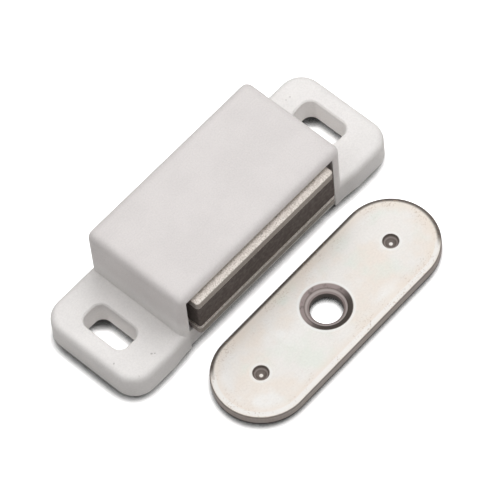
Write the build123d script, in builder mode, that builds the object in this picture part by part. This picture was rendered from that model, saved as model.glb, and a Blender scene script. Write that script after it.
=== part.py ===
from build123d import *
import os

# Magnetic catch: a white moulded housing that is screwed down through two slotted ears,
# a floating magnet pack (a ferrite block between two steel pole plates) that looks out of
# its front window, and the loose steel strike plate that goes on the door.
#
# Millimetres. The origin is the middle of the housing's mounting face. +Z is up, +X runs
# along the catch, and -Y is the front, the side that the magnet pack looks out of.

os.makedirs("parts", exist_ok=True)

# housing
housing_length = 52.0  # over both ears
housing_depth = 17.4
housing_height = 13.0
box_length = 32.0  # the raised middle that holds the pack
box_setback = 0.3  # of its front face, from the ears' front faces
front_flare = 2.5  # length over which the ears' front faces run in to it
box_corner = 1.1  # upright corners of the box
box_edge = 1.3  # rounding round the top of the box
ear_thickness = 4.1
ear_corner = 3.4  # upright corners of the ears
ear_edge = 1.0  # rounding round the top of the ears

end_wall = 1.5
pocket_shift = -0.3  # of the pocket and the pack, along the catch
back_wall = 1.6
roof_thickness = 1.3
floor_thickness = 3.55  # the pack lies and slides on it
floor_setback = 0.65  # from the ears' front faces back to the floor's front edge

slot_inset = 5.0  # from the end of each ear to the middle of its slot
slot_width = 4.1
slot_length = 7.6  # across the catch
slot_position = 0.4  # along Y
slot_corner = 1.4
slot_edge = 0.2  # broken edge round the top of each slot

rib_width = 1.2
rib_spacing = 18.0
rib_setback = 1.5  # from the ears' front faces back to the ribs
lug_width = 1.6  # the lugs on the end walls stop the pack's travel
lug_reach = 1.7
lug_position = -2.0  # along Y

# magnet pack
plate_thickness = 1.25
plate_end_clearance = 1.0  # between the plates' ends and the end walls
plate_back_clearance = 1.6  # between the plates and the back wall
plate_corner = 0.5
plate_edge = 0.15
magnet_edge = 0.2
magnet_front_setback = 0.3  # from the plates' front edges
magnet_back_setback = 0.7  # from their back edges
pack_reach = 0.8  # of the plates, past the ears' front faces
pack_headroom = 0.55  # between the pack and the housing's roof
magnet_shift = 0.3  # the magnet lies a little to one side between its plates
travel_out = 0.4  # the pack slides this far out from where it lies
travel_in = 0.6  # and this far in
stop_clearance = 0.05  # left over at each end of the travel
rib_clearance = 0.25  # between the pack and the ribs over it
lug_clearance = 0.3  # between the lugs and what they pass

# strike plate
strike_length = 40.0
strike_width = 14.0
strike_thickness = 1.5
strike_edge = 0.3
strike_gap = 2.8  # from the ears' front faces to the plate beside them
strike_shift = 0.95  # along the catch
strike_turn = 0.5  # degrees
sink_diameter = 7.3
sink_step_diameter = 5.8
sink_step_depth = 0.25
sink_depth = 0.65
hole_diameter = 4.6
dimple_spacing = 26.4
dimple_diameter = 2.3
dimple_depth = 0.8

# worked out from the sizes above
front = -housing_depth / 2
box_front = front + box_setback
box_depth = housing_depth - box_setback
slot_spacing = housing_length - 2 * slot_inset
window_length = box_length - 2 * end_wall
pocket_depth = housing_depth - back_wall
pocket_height = housing_height - roof_thickness - floor_thickness
roof_under = housing_height - roof_thickness

pack_top = roof_under - pack_headroom
upper_plate_bottom = pack_top - plate_thickness
magnet_bottom = floor_thickness + plate_thickness
magnet_height = upper_plate_bottom - magnet_bottom
plate_length = window_length - 2 * plate_end_clearance
plate_depth = pack_reach + pocket_depth - plate_back_clearance
plates_front = front - pack_reach
plates_middle = plates_front + plate_depth / 2
magnet_depth = plate_depth - magnet_front_setback - magnet_back_setback
magnet_middle = plates_front + magnet_front_setback + magnet_depth / 2

notch_width = lug_width + travel_in + travel_out + 2 * stop_clearance
notch_position = lug_position + (travel_out - travel_in) / 2
waist_length = window_length - 2 * (lug_reach + lug_clearance)
notch_depth = (plate_length - waist_length) / 2

strike_middle = Vector(strike_shift, front - strike_gap - strike_width / 2, 0)


with BuildPart() as housing:
    # ears, then the box that stands between them
    with BuildSketch():
        RectangleRounded(housing_length, housing_depth, ear_corner)
        Polygon(
            (-box_length / 2 - front_flare, front),
            (box_length / 2 + front_flare, front),
            (box_length / 2, box_front),
            (-box_length / 2, box_front),
            align=None,
            mode=Mode.SUBTRACT,
        )
    extrude(amount=ear_thickness)
    fillet(housing.faces().sort_by(Axis.Z)[-1].edges(), ear_edge)
    with BuildSketch():
        with Locations((0, box_front)):
            RectangleRounded(box_length, box_depth, box_corner, align=(Align.CENTER, Align.MIN))
    extrude(amount=housing_height)
    fillet(housing.faces().sort_by(Axis.Z)[-1].edges(), box_edge)

    # slots for the fixing screws, with their top edges broken
    with BuildSketch():
        with Locations((0, slot_position)):
            with GridLocations(slot_spacing, 0, 2, 1):
                RectangleRounded(slot_width, slot_length, slot_corner)
    extrude(amount=ear_thickness, mode=Mode.SUBTRACT)
    ear_tops = housing.faces().filter_by_position(Axis.Z, ear_thickness, ear_thickness)
    slot_rims = [edge for top in ear_tops for rim in top.inner_wires() for edge in rim.edges()]
    chamfer(slot_rims, slot_edge)

    # pocket for the pack, and the floor's edge set back under the window
    with BuildSketch(Plane.XY.offset(floor_thickness)):
        with Locations((pocket_shift, front)):
            Rectangle(window_length, pocket_depth, align=(Align.CENTER, Align.MIN))
    extrude(amount=pocket_height, mode=Mode.SUBTRACT)
    with BuildSketch():
        with Locations((pocket_shift, front)):
            Rectangle(window_length, floor_setback, align=(Align.CENTER, Align.MIN))
    extrude(amount=floor_thickness, mode=Mode.SUBTRACT)

    # ribs under the roof, which keep the pack down
    with BuildSketch(Plane.XY.offset(roof_under)):
        with Locations((pocket_shift, front + rib_setback)):
            with GridLocations(rib_spacing, 0, 2, 1):
                Rectangle(rib_width, pocket_depth - rib_setback, align=(Align.CENTER, Align.MIN))
    extrude(amount=rib_clearance - pack_headroom)

    # lugs at the level of each plate, which stop the pack at both ends of its travel
    lug_heights = (
        (floor_thickness, magnet_bottom - lug_clearance - floor_thickness),
        (roof_under, upper_plate_bottom + lug_clearance - roof_under),
    )
    for level, height in lug_heights:
        with BuildSketch(Plane.XY.offset(level)):
            for side in (-1, 1):
                with Locations((pocket_shift + side * (window_length - lug_reach) / 2, lug_position)):
                    Rectangle(lug_reach, lug_width)
        extrude(amount=height)


def plate_outline():  # of both pole plates, notched at each end for the lugs
    with Locations((pocket_shift, plates_middle)):
        RectangleRounded(plate_length, plate_depth, plate_corner)
    with Locations((pocket_shift, notch_position)):
        with GridLocations(plate_length - notch_depth, 0, 2, 1):
            Rectangle(notch_depth, notch_width, mode=Mode.SUBTRACT)


with BuildPart() as lower_pole_plate:
    with BuildSketch(Plane.XY.offset(floor_thickness)):
        plate_outline()
    extrude(amount=plate_thickness)
    fillet(lower_pole_plate.faces().sort_by(Axis.Z)[0].edges(), plate_edge)


with BuildPart() as upper_pole_plate:
    with BuildSketch(Plane.XY.offset(upper_plate_bottom)):
        plate_outline()
    extrude(amount=plate_thickness)
    fillet(upper_pole_plate.faces().sort_by(Axis.Z)[-1].edges(), plate_edge)


with BuildPart() as magnet:
    with BuildSketch(Plane.XY.offset(magnet_bottom)):
        with Locations((pocket_shift + magnet_shift, magnet_middle)):
            Rectangle(plate_length, magnet_depth)
    extrude(amount=magnet_height)
    chamfer(magnet.edges().filter_by(Axis.Z), magnet_edge)


with BuildPart() as strike_plate:
    strike_plane = Plane(strike_middle).rotated((0, 0, strike_turn))
    with BuildSketch(strike_plane):
        SlotOverall(strike_length, strike_width)
    extrude(amount=strike_thickness)
    fillet(strike_plate.faces().sort_by(Axis.Z)[-1].edges(), strike_edge)

    # stepped countersink and screw hole
    with BuildSketch(Plane(strike_middle, x_dir=strike_plane.x_dir, z_dir=-strike_plane.y_dir)):
        with BuildLine():
            Polyline(
                (0, 0),
                (hole_diameter / 2, 0),
                (hole_diameter / 2, strike_thickness - sink_depth),
                (sink_step_diameter / 2, strike_thickness - sink_step_depth),
                (sink_diameter / 2, strike_thickness),
                (0, strike_thickness),
                close=True,
            )
        make_face()
    revolve(axis=Axis(strike_middle, (0, 0, 1)), mode=Mode.SUBTRACT)

    # two round dimples, pressed into the face
    dimple_radius = ((dimple_diameter / 2) ** 2 + dimple_depth**2) / (2 * dimple_depth)
    with Locations(strike_plane.offset(strike_thickness + dimple_radius - dimple_depth)):
        with GridLocations(dimple_spacing, 0, 2, 1):
            Sphere(dimple_radius, mode=Mode.SUBTRACT)


for name, piece in (
    ("housing", housing),
    ("upper_pole_plate", upper_pole_plate),
    ("magnet", magnet),
    ("lower_pole_plate", lower_pole_plate),
    ("strike_plate", strike_plate),
):
    piece.part.label = name
    export_step(piece.part, f"parts/{name}.step")
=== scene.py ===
import math

import bmesh
import bpy
from mathutils import Matrix, Vector


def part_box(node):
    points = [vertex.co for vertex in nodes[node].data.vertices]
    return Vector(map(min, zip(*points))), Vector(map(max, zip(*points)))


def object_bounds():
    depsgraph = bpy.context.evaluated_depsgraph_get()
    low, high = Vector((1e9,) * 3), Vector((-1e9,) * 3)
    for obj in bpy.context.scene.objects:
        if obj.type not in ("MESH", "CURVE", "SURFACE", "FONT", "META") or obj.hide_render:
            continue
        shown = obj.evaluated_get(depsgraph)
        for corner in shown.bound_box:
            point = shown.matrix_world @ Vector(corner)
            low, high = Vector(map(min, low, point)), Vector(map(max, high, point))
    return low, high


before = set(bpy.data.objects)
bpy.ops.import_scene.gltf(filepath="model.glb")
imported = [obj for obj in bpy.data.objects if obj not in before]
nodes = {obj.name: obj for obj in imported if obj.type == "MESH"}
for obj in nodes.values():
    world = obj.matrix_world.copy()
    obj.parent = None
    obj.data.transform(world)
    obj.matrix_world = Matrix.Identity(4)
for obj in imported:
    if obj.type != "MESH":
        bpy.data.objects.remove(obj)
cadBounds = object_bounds()
mm = 0.001
noiseSpan = (0.3, 0.7)  # nearly all of a noise lies between these
print("frame loaded:", sorted(nodes))


def addNode(tree, kind, inputs=None, **settings):  # inputs by socket name or number, as values or links
    node = tree.nodes.new(kind)
    for key, value in settings.items():
        setattr(node, key, value)
    for key, value in (inputs or {}).items():
        if isinstance(value, bpy.types.NodeSocket):
            tree.links.new(value, node.inputs[key])
        else:
            node.inputs[key].default_value = value
    return node


def mathNode(tree, operation, first, second=0.0):
    return addNode(tree, "ShaderNodeMath", {0: first, 1: second}, operation=operation).outputs[0]


def mapRange(tree, value, low, high, toLow=0.0, toHigh=1.0, smooth=False):
    kind = "SMOOTHSTEP" if smooth else "LINEAR"
    sockets = {"Value": value, "From Min": low, "From Max": high, "To Min": toLow, "To Max": toHigh}
    return addNode(tree, "ShaderNodeMapRange", sockets, interpolation_type=kind).outputs[0]


def mixColour(tree, factor, first, second, blend="MIX"):
    sockets = {0: factor, 6: first, 7: second}  # 6 and 7 are the Mix node's colours
    return addNode(tree, "ShaderNodeMix", sockets, data_type="RGBA", blend_type=blend).outputs[2]


def layOver(tree, colour, mask, share, over):
    return mixColour(tree, mathNode(tree, "MULTIPLY", mask, share), colour, over)


def noiseValue(tree, vector, scale, detail=3.0, rough=0.5):
    sockets = {"Vector": vector, "Scale": scale, "Detail": detail, "Roughness": rough}
    return addNode(tree, "ShaderNodeTexNoise", sockets).outputs[0]


def lengthOf(tree, x, y):
    vector = addNode(tree, "ShaderNodeCombineXYZ", {0: x, 1: y}).outputs[0]
    return addNode(tree, "ShaderNodeVectorMath", {0: vector}, operation="LENGTH").outputs["Value"]


def rampMask(tree, value, ramp, start=0.0, smooth=False):  # 0 to 1 over the ramp, in mm from the start
    low, high = (start + part * mm for part in ramp)
    return mapRange(tree, value, low, high, smooth=smooth)


def bandMask(tree, value, band, start=0.0):  # 1 between low and high, with soft ends, in mm from the start
    low, high, soft = (part * mm for part in band)
    rise = mapRange(tree, value, start + low - soft, start + low + soft, smooth=True)
    fall = mapRange(tree, value, start + high - soft, start + high + soft, 1.0, 0.0, smooth=True)
    return mathNode(tree, "MULTIPLY", rise, fall)


def newMaterial(name):
    material = bpy.data.materials.new(name)
    material.use_nodes = True
    tree = material.node_tree
    return material, tree, tree.nodes["Principled BSDF"]


def objectCoords(tree):
    return addNode(tree, "ShaderNodeTexCoord").outputs["Object"]


def addBump(tree, shader, height, depth):
    bump = addNode(tree, "ShaderNodeBump", {"Height": height, "Distance": depth}).outputs[0]
    tree.links.new(bump, shader.inputs["Normal"])


def dress(node, material):
    mesh = nodes[node].data
    mesh.materials.clear()
    mesh.materials.append(material)


def newGroup(name, inputs, outputs):
    group = bpy.data.node_groups.new(name, "ShaderNodeTree")
    for socket, kind, value in inputs:
        made = group.interface.new_socket(socket, in_out="INPUT", socket_type=kind)
        if value is not None:
            made.default_value = value
    for socket in outputs:
        group.interface.new_socket(socket, in_out="OUTPUT", socket_type="NodeSocketFloat")
    entry = group.nodes.new("NodeGroupInput")
    leave = group.nodes.new("NodeGroupOutput")
    return group, entry.outputs, leave.inputs


def placeGroup(tree, group, inputs):
    return addNode(tree, "ShaderNodeGroup", inputs, node_tree=group).outputs


effectLook = {
    "speckSpan": (0.70, 0.76),  # of the noise, from no speck to a full one
    "edgeSpan": (0.995, 0.80),  # of the cosine between the flat and the rounded normal
    "creviceSpan": (0.75, 0.15),  # of how open the place is
    "samples": 6,
}


def makeGrainGroup(look):  # fine grain, soft blotches and sparse specks
    inputs = (
        ("Vector", "NodeSocketVector", None),
        ("Grain Size", "NodeSocketFloat", 0.2 * mm),
        ("Blotch Size", "NodeSocketFloat", 4 * mm),
        ("Speck Size", "NodeSocketFloat", 0.6 * mm),
    )
    group, given, made = newGroup("surfaceGrain", inputs, ("Grain", "Blotches", "Specks"))
    for size, output, detail in (
        ("Grain Size", "Grain", 2.0),
        ("Blotch Size", "Blotches", 3.0),
        ("Speck Size", "Specks", 1.0),
    ):
        noise = noiseValue(group, given["Vector"], mathNode(group, "DIVIDE", 1.0, given[size]), detail)
        if output == "Specks":
            noise = mapRange(group, noise, *look["speckSpan"])
        group.links.new(noise, made[output])
    return group


def makeEdgeGroup(look):  # where the surface turns sharply
    group, given, made = newGroup("edgeMask", (("Radius", "NodeSocketFloat", 0.2 * mm),), ("Edge",))
    bevel = addNode(group, "ShaderNodeBevel", {"Radius": given["Radius"]}, samples=look["samples"])
    flat = addNode(group, "ShaderNodeNewGeometry").outputs["Normal"]
    normals = {0: bevel.outputs[0], 1: flat}
    dot = addNode(group, "ShaderNodeVectorMath", normals, operation="DOT_PRODUCT").outputs["Value"]
    group.links.new(mapRange(group, dot, *look["edgeSpan"], smooth=True), made["Edge"])
    return group


def makeCreviceGroup(look):  # where dust gathers and little light gets in
    group, given, made = newGroup("creviceMask", (("Reach", "NodeSocketFloat", 1 * mm),), ("Crevice",))
    sockets = {"Distance": given["Reach"]}
    openness = addNode(group, "ShaderNodeAmbientOcclusion", sockets, samples=look["samples"]).outputs["AO"]
    group.links.new(mapRange(group, openness, *look["creviceSpan"], smooth=True), made["Crevice"])
    return group


grainGroup = makeGrainGroup(effectLook)
edgeGroup = makeEdgeGroup(effectLook)
creviceGroup = makeCreviceGroup(effectLook)


housingLook = {
    # one plastic in lit and shaded copies: the ears painted light, the box painted shade
    "boxShadedColour": (0.845, 0.81, 0.80, 1),
    "earColour": (0.95, 0.93, 0.915, 1),
    "earToBoxShade": (5.5 * mm, 8.5 * mm),  # heights, from the ears' painted lighter colour to the box's painted darker shade
    "grainSize": 0.22 * mm,
    "grainSpan": (0.25, 0.75),
    "grainShade": (0.95, 1.05),
    "grainDepth": 0.012 * mm,
    "blotchSize": 5 * mm,
    "blotchSpan": (0.35, 0.65),
    "blotchShade": 0.965,
    "roughness": (0.38, 0.48),
    "ior": 1.48,
    # dust and painted shade: corners and crevices darkened by how open they are
    "dustAndShadeColour": (0.42, 0.38, 0.36, 1),
    "dustAndShadeReach": 1.2 * mm,
    "dustAndShadeShare": 0.15,
    "marks": (  # X, Y and Z of the middle, and radius, in mm
        (-16.1, -5.95, 12.8, 0.28),
        (-24.8, -3.9, 4.1, 0.16),
        (-24.9, -7.6, 4.0, 0.14),
        (-24.0, -7.7, 4.1, 0.14),
        (-20.45, -6.7, 4.1, 0.17),
        (-20.1, -6.95, 4.1, 0.12),
        (20.7, 6.3, 4.1, 0.13),
        (21.4, 6.2, 4.1, 0.12),
    ),
    "markColour": (0.30, 0.27, 0.25, 1),
    "markShare": 0.55,
    "markCore": 0.5,  # of the radius, inside which the mark is at its darkest
    "markRagged": (0.4, 1.5),  # the radius varies by these
    "markNoise": 0.25 * mm,
}


def paintMarks(tree, coords, colour, look):
    noise = noiseValue(tree, coords, 1 / look["markNoise"], 2.0)
    ragged = mapRange(tree, noise, *noiseSpan, *look["markRagged"])
    for x, y, z, radius in look["marks"]:
        points = {0: coords, 1: (x * mm, y * mm, z * mm)}
        away = addNode(tree, "ShaderNodeVectorMath", points, operation="DISTANCE").outputs["Value"]
        reach = mathNode(tree, "DIVIDE", away, ragged)
        ends = (radius * mm, look["markCore"] * radius * mm)
        mark = mapRange(tree, reach, *ends, 0.0, look["markShare"], smooth=True)
        colour = mixColour(tree, mark, colour, look["markColour"])
    return colour


def makePlastic(look):
    material, tree, shader = newMaterial("whitePlastic")
    coords = objectCoords(tree)
    sizes = {"Vector": coords, "Grain Size": look["grainSize"], "Blotch Size": look["blotchSize"]}
    grain = placeGroup(tree, grainGroup, sizes)
    height = addNode(tree, "ShaderNodeSeparateXYZ", {0: coords}).outputs["Z"]
    # painted light and shade: the ears lighter, the box darker, by height
    boxShadeShare = mapRange(tree, height, *look["earToBoxShade"], smooth=True)
    colour = mixColour(tree, boxShadeShare, look["earColour"], look["boxShadedColour"])
    blotches = mapRange(tree, grain["Blotches"], *look["blotchSpan"], smooth=True)
    shade = mapRange(tree, blotches, 0.0, 1.0, 1.0, look["blotchShade"])
    tone = mapRange(tree, grain["Grain"], *look["grainSpan"], *look["grainShade"])
    colour = mixColour(tree, 1.0, colour, mathNode(tree, "MULTIPLY", shade, tone), "MULTIPLY")
    crevice = placeGroup(tree, creviceGroup, {"Reach": look["dustAndShadeReach"]})["Crevice"]
    # crevice dust and painted shade, darker where little light gets in
    colour = layOver(tree, colour, crevice, look["dustAndShadeShare"], look["dustAndShadeColour"])
    tree.links.new(paintMarks(tree, coords, colour, look), shader.inputs["Base Color"])
    rough = mapRange(tree, grain["Blotches"], *noiseSpan, *look["roughness"])
    tree.links.new(rough, shader.inputs["Roughness"])
    addBump(tree, shader, grain["Grain"], look["grainDepth"])
    shader.inputs["IOR"].default_value = look["ior"]
    return material


dress("housing", makePlastic(housingLook))
print("housing dressed")


poleLook = {
    "colour": (0.90, 0.84, 0.78, 1),
    "grainColour": (0.60, 0.54, 0.48, 1),
    "grainSize": 0.17 * mm,
    "grainSpan": (0.36, 0.6),  # from the grain's colour to the steel's
    "grainDepth": 0.02 * mm,
    "uprightShadeColour": (0.36, 0.32, 0.29, 1),
    "uprightShadeSpan": (0.5, 0.2),  # of the normal's Z, from the flat top to the upright edges, painted darker as painted shade
    "speckColour": (0.16, 0.14, 0.125, 1),
    "speckSize": 0.45 * mm,
    "speckShare": 0.7,
    # painted highlight along the sharp edges
    "edgeHighlightColour": (1.0, 0.96, 0.91, 1),
    "edgeRadius": 0.14 * mm,
    "roughness": (0.35, 0.55),
    "metallic": 0.35,
}


def makePoleSteel(look):
    material, tree, shader = newMaterial("poleSteel")
    coords = objectCoords(tree)
    sizes = {"Vector": coords, "Grain Size": look["grainSize"], "Speck Size": look["speckSize"]}
    grain = placeGroup(tree, grainGroup, sizes)
    smoothness = mapRange(tree, grain["Grain"], *look["grainSpan"])
    colour = mixColour(tree, smoothness, look["grainColour"], look["colour"])
    normal = addNode(tree, "ShaderNodeNewGeometry").outputs["Normal"]
    upward = addNode(tree, "ShaderNodeSeparateXYZ", {0: normal}).outputs["Z"]
    # painted shade: the upright faces darker than the flat tops
    front = mapRange(tree, upward, *look["uprightShadeSpan"], smooth=True)
    colour = mixColour(tree, front, colour, look["uprightShadeColour"])
    colour = layOver(tree, colour, grain["Specks"], look["speckShare"], look["speckColour"])
    # painted highlight where the surface turns sharply
    edge = placeGroup(tree, edgeGroup, {"Radius": look["edgeRadius"]})["Edge"]
    colour = mixColour(tree, edge, colour, look["edgeHighlightColour"])
    tree.links.new(colour, shader.inputs["Base Color"])
    rough = mapRange(tree, grain["Grain"], *noiseSpan, *look["roughness"])
    tree.links.new(rough, shader.inputs["Roughness"])
    addBump(tree, shader, grain["Grain"], look["grainDepth"])
    shader.inputs["Metallic"].default_value = look["metallic"]
    return material


poleSteel = makePoleSteel(poleLook)
dress("upper_pole_plate", poleSteel)
dress("lower_pole_plate", poleSteel)
print("pole plates dressed")


magnetLook = {
    "colour": (0.085, 0.066, 0.058, 1),
    "paleColour": (0.135, 0.112, 0.102, 1),
    "blotchSize": 0.5 * mm,
    "blotchSpan": (0.38, 0.68),  # from the one colour to the other
    "grainSize": 0.12 * mm,
    "grainDepth": 0.02 * mm,
    "roughness": 0.75,
}


def makeFerrite(look):
    material, tree, shader = newMaterial("ferrite")
    coords = objectCoords(tree)
    sizes = {"Vector": coords, "Grain Size": look["grainSize"], "Blotch Size": look["blotchSize"]}
    grain = placeGroup(tree, grainGroup, sizes)
    blotches = mapRange(tree, grain["Blotches"], *look["blotchSpan"])
    colour = mixColour(tree, blotches, look["colour"], look["paleColour"])
    tree.links.new(colour, shader.inputs["Base Color"])
    addBump(tree, shader, grain["Grain"], look["grainDepth"])
    shader.inputs["Roughness"].default_value = look["roughness"]
    return material


dress("magnet", makeFerrite(magnetLook))
print("magnet dressed")


strikeLook = {
    "turn": math.radians(0.5),  # as the CAD plate lies
    "metallic": 0.15,
    "roughness": (0.43, 0.53),
    "colour": (0.935, 0.91, 0.875, 1),
    "warmColour": (0.93, 0.83, 0.73, 1),
    "coolColour": (0.86, 0.90, 0.83, 1),
    "paleColour": (0.99, 0.985, 0.965, 1),
    # painted shade of the plate's upright wall, also the ring inside the dimples
    "wallShadeColour": (0.60, 0.53, 0.50, 1),
    "patches": (  # size and shift of the noise in mm, its roughness and span, share and colour
        (6, (0, 0, 0), 0.5, (0.45, 0.68), 0.55, "warmColour"),
        (5, (50, 20, 0), 0.5, (0.50, 0.72), 0.7, "coolColour"),
        (8, (20, 70, 0), 0.55, (0.50, 0.66), 0.8, "paleColour"),
    ),
    "grainSize": 0.3 * mm,
    "grainShade": (0.965, 1.03),
    "speckColour": (0.50, 0.38, 0.29, 1),
    "speckSize": 0.24 * mm,
    "speckSpan": (0.56, 0.68),
    "speckPatchSize": 2.2 * mm,
    "speckPatchSpan": (0.42, 0.62),
    "speckInset": (3.0 * mm, 0.5 * mm),  # from the plate's edge, with
    "speckShare": (0.06, 0.5),  # these shares
    # rim: ramps and bands in mm inwards from the plate's edge, with painted highlight and shade
    "farDirection": (0.74, 0.67),  # X and Y along the plate's own sides
    "farSpan": (-0.2, 0.15),  # from the near side to the far side
    "creamRamp": (2.4, 0.6),
    "creamShare": 0.6,
    "lipHighlightBand": (0.25, 0.9, 0.15),
    "lipHighlightShare": (0.7, 0.07),  # painted highlight, on the near and on the far side
    "wallRamp": (0.10, 0.02),
    # painted shade: dark reflection in the far band and the edge line, contact shadow at the foot
    "rimShade": (0.06, 0.045, 0.036, 1),
    "rimShadeShare": 0.93,
    "farRamp": (0.75, 0.36),
    "lineBand": (0.01, 0.15, 0.04),
    "lineShare": 0.75,
    "footShadowRamp": (0.30, 0.10),  # painted contact shadow, in mm up the plate's wall
    # countersink: ramps and bands in mm outwards from the radius they go by, painted light and shade of
    # its cone
    "sinkRadius": 3.65 * mm,
    "stepRadius": 2.9 * mm,
    "holeRadius": 2.3 * mm,
    # painted light and shade of the countersink's cone and bore
    "ringPale": (0.36, 0.295, 0.285, 1),
    "ringDark": (0.065, 0.052, 0.045, 1),
    "ringHighlight": (0.60, 0.54, 0.52, 1),
    "ringTurn": (0.35, -0.55),  # of Y over the radius, from the pale side to the dark one, as painted light and shade
    "wornSize": 0.7 * mm,
    "wornSpan": (0.52, 0.75),
    "wornShare": 0.6,
    # painted highlight round the countersink's edge
    "sinkHighlight": (0.0, 0.35, 0.1),
    "sinkHighlightShare": 0.7,
    "sinkRamp": (0.04, -0.1),
    "stepRamp": (0.0, -0.15),
    "stepShare": 0.8,
    # painted highlight line at the step
    "stepHighlight": (-0.3, -0.05, 0.06),
    "stepHighlightShare": 0.75,
    "stepShade": (0.02, 0.16, 0.06),
    "stepShadeShare": 0.45,
    "boreRamp": (0.10, 0.02),
    # dimples: bands in mm outwards from their radius; painted shade inside, a painted highlight round them
    # and a painted lighter ring
    "dimplePlace": 13.2 * mm,  # along the plate, from its middle
    "dimpleRadius": 1.15 * mm,
    "dimpleShadeColour": (0.125, 0.098, 0.085, 1),
    "dimpleHighlight": (0.05, 0.4, 0.12),
    "dimpleHighlightShare": 0.5,
    "dimpleDisc": (-0.89, 0.02, 0.06),
    "dimpleDiscShare": 0.95,
    "dimpleRipple": (-0.368, -0.207, 0.08),
    "dimpleRippleShare": 0.55,
}


def plateSizes(look):  # middle, half the straight length and half the width of the turned plate
    low, high = (Vector(corner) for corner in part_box("strike_plate"))
    size = high - low
    cos, sin = math.cos(look["turn"]), math.sin(look["turn"])
    straight = (size.x - size.y) / (cos - sin)
    return (low + high) / 2, straight / 2, (size.y - straight * sin) / 2


def paintPatches(tree, local, look):
    colour = look["colour"]
    for size, shift, rough, span, share, over in look["patches"]:
        place = {"Vector": local, "Location": [part * mm for part in shift]}
        shifted = addNode(tree, "ShaderNodeMapping", place).outputs[0]
        noise = noiseValue(tree, shifted, 1 / (size * mm), 3.0, rough)
        colour = layOver(tree, colour, mapRange(tree, noise, *span, smooth=True), share, look[over])
    return colour


def insetFrom(tree, x, y, half, reach, look):  # how far in from the plate's edge, and 1 on its far side
    past = mathNode(tree, "SUBTRACT", mathNode(tree, "ABSOLUTE", x), half)
    beyond = mathNode(tree, "MAXIMUM", past, 0.0)
    out = lengthOf(tree, beyond, y)
    along = mathNode(tree, "MULTIPLY", beyond, mathNode(tree, "SIGN", x))
    parts = [mathNode(tree, "MULTIPLY", *pair) for pair in zip((along, y), look["farDirection"])]
    leaning = mathNode(tree, "DIVIDE", mathNode(tree, "ADD", *parts), out)
    farSide = mapRange(tree, leaning, *look["farSpan"], smooth=True)
    return mathNode(tree, "SUBTRACT", reach, out), farSide


def paintRim(tree, inset, farSide, height, colour, look):
    cream = rampMask(tree, inset, look["creamRamp"], smooth=True)
    colour = layOver(tree, colour, cream, look["creamShare"], look["warmColour"])
    # painted highlight along the lip, strong on the near side
    lipHighlightShare = mapRange(tree, farSide, 0.0, 1.0, *look["lipHighlightShare"])
    colour = layOver(tree, colour, bandMask(tree, inset, look["lipHighlightBand"]), lipHighlightShare, look["paleColour"])
    # painted shade on the upright wall
    colour = mixColour(tree, rampMask(tree, inset, look["wallRamp"]), colour, look["wallShadeColour"])
    # painted shade: far band, dark edge line and contact shadow at the foot
    farBand = mathNode(tree, "MULTIPLY", rampMask(tree, inset, look["farRamp"], smooth=True), farSide)
    line = mathNode(tree, "MULTIPLY", bandMask(tree, inset, look["lineBand"]), look["lineShare"])
    foot = rampMask(tree, height, look["footShadowRamp"], smooth=True)
    dark = mathNode(tree, "MAXIMUM", mathNode(tree, "MAXIMUM", farBand, line), foot)
    return layOver(tree, colour, dark, look["rimShadeShare"], look["rimShade"])


def paintSpecks(tree, local, inset, patches, colour, look):
    fine = mapRange(tree, noiseValue(tree, local, 1 / look["speckSize"], 1.0), *look["speckSpan"])
    patchy = mapRange(tree, patches, *look["speckPatchSpan"], smooth=True)
    share = mapRange(tree, inset, *look["speckInset"], *look["speckShare"])
    return layOver(tree, colour, mathNode(tree, "MULTIPLY", fine, patchy), share, look["speckColour"])


def paintSink(tree, local, x, y, colour, look):
    out = lengthOf(tree, x, y)
    sink, step = look["sinkRadius"], look["stepRadius"]
    # painted light and shade: pale towards one side of the cone, dark towards the other
    facing = mapRange(tree, mathNode(tree, "DIVIDE", y, out), *look["ringTurn"], smooth=True)
    ring = mixColour(tree, facing, look["ringPale"], look["ringDark"])
    worn = mapRange(tree, noiseValue(tree, local, 1 / look["wornSize"], 2.0), *look["wornSpan"])
    ring = layOver(tree, ring, worn, look["wornShare"], look["ringDark"])
    # painted highlight round the countersink's edge
    halo = bandMask(tree, out, look["sinkHighlight"], sink)
    colour = layOver(tree, colour, halo, look["sinkHighlightShare"], look["paleColour"])
    colour = mixColour(tree, rampMask(tree, out, look["sinkRamp"], sink), colour, ring)
    # painted light on the inner cone
    inner = rampMask(tree, out, look["stepRamp"], step)
    colour = layOver(tree, colour, inner, look["stepShare"], look["ringPale"])
    # painted highlight line at the step
    line = bandMask(tree, out, look["stepHighlight"], step)
    colour = layOver(tree, colour, line, look["stepHighlightShare"], look["ringHighlight"])
    shade = bandMask(tree, out, look["stepShade"], step)
    colour = layOver(tree, colour, shade, look["stepShadeShare"], look["ringDark"])
    # painted shade in the bore
    bore = rampMask(tree, out, look["boreRamp"], look["holeRadius"])
    return mixColour(tree, bore, colour, look["ringDark"])


def paintDimples(tree, x, y, colour, look):
    aside = mathNode(tree, "SUBTRACT", mathNode(tree, "ABSOLUTE", x), look["dimplePlace"])
    out = lengthOf(tree, aside, y)
    # painted highlight round each dimple, painted shade in it and a painted lighter ring
    for band, share, over in (
        ("dimpleHighlight", "dimpleHighlightShare", "paleColour"),
        ("dimpleDisc", "dimpleDiscShare", "dimpleShadeColour"),
        ("dimpleRipple", "dimpleRippleShare", "wallShadeColour"),
    ):
        mask = bandMask(tree, out, look[band], look["dimpleRadius"])
        colour = layOver(tree, colour, mask, look[share], look[over])
    return colour


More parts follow.
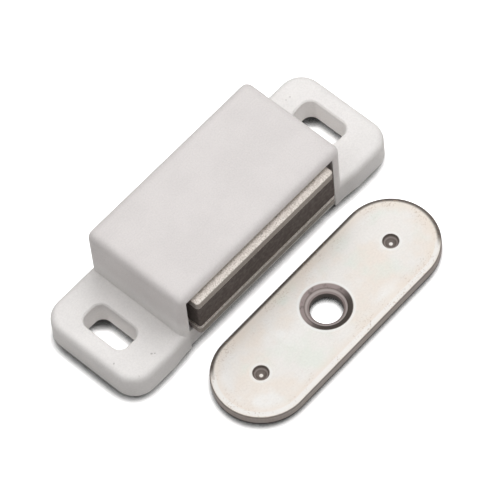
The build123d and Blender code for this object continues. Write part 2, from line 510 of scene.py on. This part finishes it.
def makeBrightPlate(look):
    material, tree, shader = newMaterial("brightPlate")
    middle, half, reach = plateSizes(look)
    place = {
        "Vector": objectCoords(tree),
        "Location": (middle.x, middle.y, 0.0),
        "Rotation": (0.0, 0.0, look["turn"]),
    }
    local = addNode(tree, "ShaderNodeMapping", place, vector_type="TEXTURE").outputs[0]
    x, y, height = addNode(tree, "ShaderNodeSeparateXYZ", {0: local}).outputs
    sizes = {"Vector": local, "Grain Size": look["grainSize"], "Blotch Size": look["speckPatchSize"]}
    grain = placeGroup(tree, grainGroup, sizes)
    tone = mapRange(tree, grain["Grain"], *noiseSpan, *look["grainShade"])
    colour = mixColour(tree, 1.0, paintPatches(tree, local, look), tone, "MULTIPLY")
    inset, farSide = insetFrom(tree, x, y, half, reach, look)
    colour = paintRim(tree, inset, farSide, height, colour, look)
    colour = paintSpecks(tree, local, inset, grain["Blotches"], colour, look)
    colour = paintSink(tree, local, x, y, colour, look)
    colour = paintDimples(tree, x, y, colour, look)
    tree.links.new(colour, shader.inputs["Base Color"])
    rough = mapRange(tree, grain["Blotches"], *noiseSpan, *look["roughness"])
    tree.links.new(rough, shader.inputs["Roughness"])
    shader.inputs["Metallic"].default_value = look["metallic"]
    return material


dress("strike_plate", makeBrightPlate(strikeLook))
print("strike plate dressed")


def directionFrom(azimuth, height):  # azimuth 0 is the front, -Y, and 90 is +X
    a, h = math.radians(azimuth), math.radians(height)
    return Vector((math.sin(a) * math.cos(h), -math.cos(a) * math.cos(h), math.sin(h)))


def addHolder(name, data):
    holder = bpy.data.objects.new(name, data)
    bpy.context.scene.collection.objects.link(holder)
    return holder


floorLook = {
    "size": 3.0,
    "colour": (0.78, 0.77, 0.76, 1),  # as the catch sees it
    "shown": 1.25,  # its grey as the camera sees it
    "glow": 0.62,  # and the light of its own there
    "shadowShown": 0.02,  # the share of both that is left where the contact shadow is darkest
    "shadowReach": 2.2 * mm,
    "shadowSpan": (0.41, 0.75),  # of how open the place is, from the darkest to none
    "shadowFrom": (127, 42),  # azimuth and height of the side it falls away from
    "samples": 12,
}


def makePaper(look):
    material, tree, shader = newMaterial("paper")
    tree.nodes.remove(shader)
    tilted = addNode(tree, "ShaderNodeCombineXYZ", dict(enumerate(directionFrom(*look["shadowFrom"]))))
    sockets = {"Distance": look["shadowReach"], "Normal": tilted.outputs[0]}
    openness = addNode(tree, "ShaderNodeAmbientOcclusion", sockets, samples=look["samples"]).outputs["AO"]
    shade = mapRange(tree, openness, *look["shadowSpan"], look["shadowShown"])
    shown = mathNode(tree, "MULTIPLY", shade, look["shown"])
    glow = mathNode(tree, "MULTIPLY", shade, look["glow"])
    lit = addNode(tree, "ShaderNodeBsdfDiffuse", {"Color": shown}).outputs[0]
    glowing = addNode(tree, "ShaderNodeEmission", {"Strength": glow}).outputs[0]
    both = addNode(tree, "ShaderNodeAddShader", {0: lit, 1: glowing}).outputs[0]
    plain = addNode(tree, "ShaderNodeBsdfDiffuse", {"Color": look["colour"]}).outputs[0]
    seen = addNode(tree, "ShaderNodeLightPath").outputs["Is Camera Ray"]
    mixed = addNode(tree, "ShaderNodeMixShader", {0: seen, 1: plain, 2: both}).outputs[0]
    tree.links.new(mixed, tree.nodes["Material Output"].inputs["Surface"])
    return material


def makeFloor(look):
    mesh = bpy.data.meshes.new("floor")
    shape = bmesh.new()
    bmesh.ops.create_grid(shape, x_segments=1, y_segments=1, size=look["size"] / 2)
    shape.to_mesh(mesh)
    shape.free()
    mesh.materials.append(makePaper(look))
    floor = addHolder("floor", mesh)


skyLook = {
    "shown": 1.0,  # to the camera, and high up in reflections
    "light": 0.03,  # on the catch
    "horizonShown": 0.12,  # low down in reflections
    "horizonTo": (0.25, 0.75),  # heights, as the direction's Z, between which they brighten
    "colour": (1, 1, 1, 1),
}


def makeSky(look):
    world = bpy.data.worlds.new("sky")
    world.use_nodes = True
    bpy.context.scene.world = world
    tree = world.node_tree
    path = addNode(tree, "ShaderNodeLightPath").outputs
    direction = addNode(tree, "ShaderNodeTexCoord").outputs["Generated"]
    up = addNode(tree, "ShaderNodeSeparateXYZ", {0: direction}).outputs["Z"]
    mirrored = mapRange(tree, up, *look["horizonTo"], look["horizonShown"], look["shown"], smooth=True)
    glossy = mathNode(tree, "MULTIPLY", path["Is Glossy Ray"], mirrored)
    lit = mapRange(tree, path["Is Camera Ray"], 0.0, 1.0, look["light"], look["shown"])
    background = tree.nodes["Background"].inputs
    tree.links.new(mathNode(tree, "MAXIMUM", lit, glossy), background["Strength"])
    background["Color"].default_value = look["colour"]


lampLook = {
    "colour": (1.0, 0.99, 0.985),
    "distance": 0.6,
    "size": 0.5,
    "lamps": (  # name, azimuth and height in degrees, and watts
        ("leftSoftbox", 250, 67, 1.25),
        ("rightSoftbox", 45, 60, 1.08),
        ("sideSoftbox", 90, 60, 0.39),
        ("backSoftbox", 135, 60, 1.06),
        ("frontSoftbox", 0, 40, 0.19),
    ),
}


def addLamps(aim, look):
    for name, azimuth, height, watts in look["lamps"]:
        lamp = bpy.data.lights.new(name, "AREA")
        lamp.shape = "DISK"
        lamp.size = look["size"]
        lamp.energy = watts
        lamp.color = look["colour"]
        holder = addHolder(name, lamp)
        away = directionFrom(azimuth, height)
        facing = away.to_track_quat("Z", "Y").to_matrix().to_4x4()
        holder.matrix_world = Matrix.Translation(aim + away * look["distance"]) @ facing
        holder.visible_glossy = False


cameraLook = {
    "aimShift": (-1.14 * mm, 1.446 * mm, 0),  # from the middle of the CAD box
    "azimuth": -42.141,
    "height": 59.103,
    "roll": -6.665,
    "distance": 0.59942,
    "lens": 323.19,
    "sensor": 36.0,
    "clip": (0.01, 20.0),
}


def addCamera(aim, look):
    camera = bpy.data.cameras.new("camera")
    camera.lens = look["lens"]
    camera.sensor_width = look["sensor"]
    camera.clip_start, camera.clip_end = look["clip"]
    holder = addHolder("camera", camera)
    back = directionFrom(look["azimuth"], look["height"])
    right = Vector((0, 0, 1)).cross(back).normalized()
    up = back.cross(right)
    cos, sin = math.cos(math.radians(look["roll"])), math.sin(math.radians(look["roll"]))
    facing = Matrix((cos * right + sin * up, cos * up - sin * right, back)).transposed().to_4x4()
    holder.matrix_world = Matrix.Translation(aim + back * look["distance"]) @ facing
    bpy.context.scene.camera = holder


low, high = (Vector(corner) for corner in cadBounds)
aim = (low + high) / 2 + Vector(cameraLook["aimShift"])
makeFloor(floorLook)
makeSky(skyLook)
addLamps(aim, lampLook)
addCamera(aim, cameraLook)
bpy.context.scene.view_settings.view_transform = "Standard"
print("stage set")
